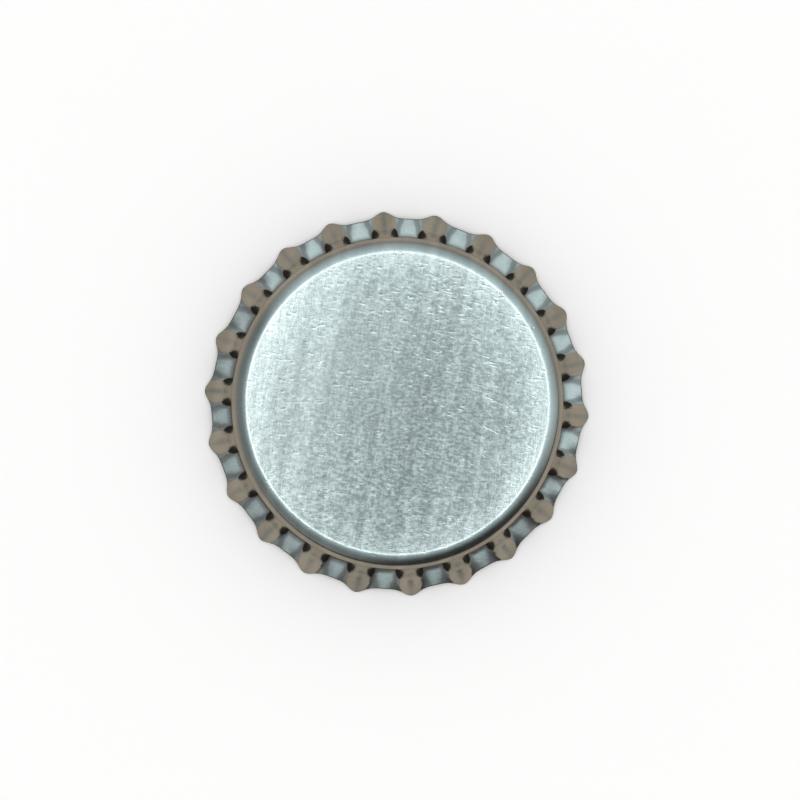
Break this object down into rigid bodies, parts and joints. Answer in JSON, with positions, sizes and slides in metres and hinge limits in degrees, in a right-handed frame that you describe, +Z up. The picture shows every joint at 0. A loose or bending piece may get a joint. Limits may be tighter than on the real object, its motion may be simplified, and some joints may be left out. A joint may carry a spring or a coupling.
{
  "type": "bottle cap",
  "caption": "Pressed tinplate crown cap with a slightly domed top, a rounded shoulder, a fluted skirt and a moulded sealing liner inside.",
  "frame": {"origin": "on the ground plane that the flute tips stand on, at the middle of their circle", "axes": "+Z up through the middle of the top, +X through one flute tip"},
  "size_m": [0.032, 0.0318, 0.006],
  "materials": {
    "tinplate": "bare rolled tinplate, fine linen-like grain on the top, brighter and smoother round the shoulder",
    "liner": "soft moulded sealing compound, satin"
  },
  "bodies": {
    "root": {"shell": "tinplate", "liner": "liner"}
  },
  "joints": []
}
